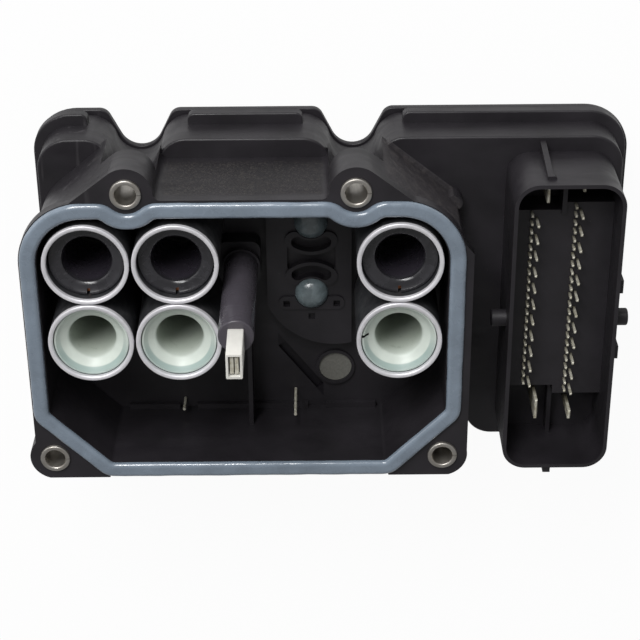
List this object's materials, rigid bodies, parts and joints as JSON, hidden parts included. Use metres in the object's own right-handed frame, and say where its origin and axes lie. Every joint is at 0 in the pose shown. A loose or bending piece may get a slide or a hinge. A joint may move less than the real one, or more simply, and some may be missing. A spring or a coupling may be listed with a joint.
{
  "type": "abs brake module",
  "caption": "Electronic half of an anti-lock brake unit: board box with harness socket, valve coils in an open gasketed chamber, motor contact tower and screw ears.",
  "frame": {"origin": "on the outer face of the rear cover, under the centre of the four mounting holes", "axes": "+X towards the harness socket, +Y towards the two upper ears, +Z out of the valve chamber towards the hydraulic block"},
  "size_m": [0.1646, 0.0967, 0.0788],
  "materials": {
    "housing_plastic": "satin, glass-filled",
    "cover_plastic": "satin",
    "seal_rubber": "matte",
    "gasket_rubber": "glossy silicone",
    "limiter_steel": "bright, rolled",
    "coil_steel": "zinc plated",
    "bobbin_black": "satin",
    "bobbin_white": "satin",
    "copper_wire": "enamelled wire",
    "yoke_steel": "plain",
    "tinned_contact": "tin plated",
    "sleeve_white": "satin",
    "clear_gel": "clear and glossy",
    "vent_film": "matte film",
    "board_laminate": "solder resist",
    "chip_resin": "matte",
    "component_can": "satin",
    "ferrite": "matte",
    "spreader_metal": "plain",
    "pad_silicone": "matte"
  },
  "bodies": {
    "root": {"housing": "housing_plastic", "valve_chamber": "housing_plastic", "motor_tower": "housing_plastic", "harness_socket": "housing_plastic", "rear_cover": "cover_plastic", "cover_seal": "seal_rubber", "flange_gasket": "gasket_rubber", "limiters": "limiter_steel", "coil_can_1": "coil_steel", "bobbin_black_1": "bobbin_black", "winding_1": "copper_wire", "coil_yoke_1": "yoke_steel", "coil_can_2": "coil_steel", "bobbin_black_2": "bobbin_black", "winding_2": "copper_wire", "coil_yoke_2": "yoke_steel", "coil_can_3": "coil_steel", "bobbin_black_3": "bobbin_black", "winding_3": "copper_wire", "coil_yoke_3": "yoke_steel", "coil_can_4": "coil_steel", "bobbin_white_4": "bobbin_white", "winding_4": "copper_wire", "coil_yoke_4": "yoke_steel", "coil_can_5": "coil_steel", "bobbin_white_5": "bobbin_white", "winding_5": "copper_wire", "coil_yoke_5": "yoke_steel", "coil_can_6": "coil_steel", "bobbin_white_6": "bobbin_white", "winding_6": "copper_wire", "coil_yoke_6": "yoke_steel", "coil_terminals": "tinned_contact", "motor_contact_sleeve": "sleeve_white", "motor_contact_left": "tinned_contact", "motor_contact_right": "tinned_contact", "signal_pins_left": "tinned_contact", "signal_pins_right": "tinned_contact", "power_blades": "tinned_contact", "gel_domes": "clear_gel", "vent_membrane": "vent_film", "chamber_pins": "tinned_contact", "circuit_board": "board_laminate", "microcontroller": "chip_resin", "valve_driver": "chip_resin", "sensor_amplifier": "chip_resin", "motor_transistors": "chip_resin", "crystal": "component_can", "choke": "ferrite", "storage_capacitors": "component_can", "heat_spreader": "spreader_metal", "thermal_pad": "pad_silicone"}
  },
  "joints": []
}
